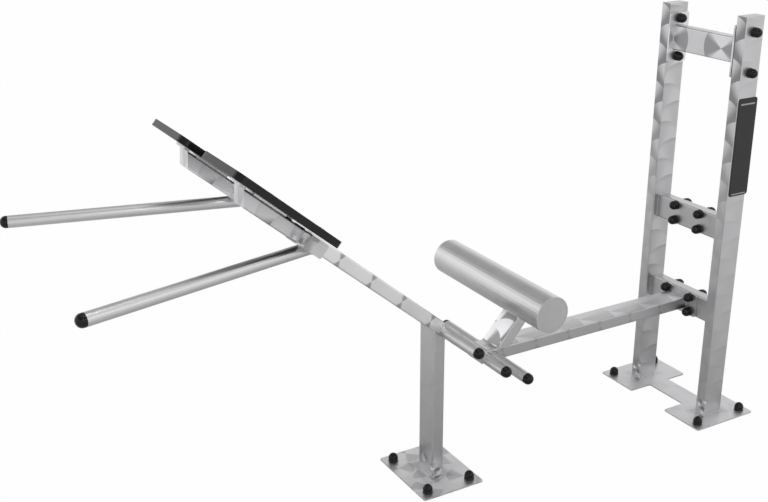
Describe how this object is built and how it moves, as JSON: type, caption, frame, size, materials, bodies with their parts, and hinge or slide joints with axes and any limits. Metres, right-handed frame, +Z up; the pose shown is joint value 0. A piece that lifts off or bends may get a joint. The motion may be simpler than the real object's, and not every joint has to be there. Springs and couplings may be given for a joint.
{
  "type": "hyperextension bench",
  "caption": "Fixed outdoor hyperextension bench: sloping boom with thigh boards, level handles, foot tubes and an ankle roller, joined by a beam to a bolted ladder frame.",
  "frame": {"origin": "centre of the underside of the post's base plate, on the ground", "axes": "+X level from the post towards the ladder frame, +Z up, +Y to the right of a person lying on the boards with the head towards -X"},
  "size_m": [2.285, 0.7588, 1.3606],
  "materials": {
    "ground_steel": "stainless steel, ground with overlapping disc swirls",
    "satin_steel": "satin stainless steel, brushed round or along the tube",
    "black_board": "matt black board, finely grained",
    "black_plastic": "semi-gloss black moulded plastic"
  },
  "bodies": {
    "root": {"beam_flange": "ground_steel", "board_left": "black_board", "board_right": "black_board", "board_spacer_left": "ground_steel", "board_spacer_right": "ground_steel", "boom": "ground_steel", "cross_tube": "ground_steel", "cross_tube_lid_left": "ground_steel", "cross_tube_lid_right": "ground_steel", "foot_plug_lower_left": "black_plastic", "foot_plug_lower_right": "black_plastic", "foot_plug_middle_left": "black_plastic", "foot_plug_middle_right": "black_plastic", "foot_plug_upper_left": "black_plastic", "foot_plug_upper_right": "black_plastic", "foot_tube_lower": "satin_steel", "foot_tube_middle": "satin_steel", "foot_tube_upper": "satin_steel", "handle_left": "satin_steel", "handle_plug_left": "black_plastic", "handle_plug_right": "black_plastic", "handle_right": "satin_steel", "ladder_anchor_1": "black_plastic", "ladder_anchor_2": "black_plastic", "ladder_anchor_3": "black_plastic", "ladder_anchor_4": "black_plastic", "ladder_base_plate": "ground_steel", "link_beam": "ground_steel", "lower_bar": "ground_steel", "lower_bar_bolt_1": "black_plastic", "lower_bar_bolt_2": "black_plastic", "lower_bar_bolt_3": "black_plastic", "lower_bar_bolt_4": "black_plastic", "middle_bar": "ground_steel", "middle_bar_bolt_1": "black_plastic", "middle_bar_bolt_2": "black_plastic", "middle_bar_bolt_3": "black_plastic", "middle_bar_bolt_4": "black_plastic", "post": "ground_steel", "post_anchor_1": "black_plastic", "post_anchor_2": "black_plastic", "post_anchor_3": "black_plastic", "post_anchor_4": "black_plastic", "post_base_plate": "ground_steel", "rail_left": "ground_steel", "rail_right": "ground_steel", "roller_arm": "ground_steel", "roller_disc_left": "satin_steel", "roller_disc_right": "satin_steel", "roller_stub": "ground_steel", "roller_tube": "satin_steel", "top_bar": "ground_steel", "top_bolt_left_1": "black_plastic", "top_bolt_left_2": "black_plastic", "top_bolt_right_1": "black_plastic", "top_bolt_right_2": "black_plastic", "top_flange_left": "ground_steel", "top_flange_right": "ground_steel", "upright_left": "ground_steel", "upright_right": "ground_steel"}
  },
  "joints": []
}
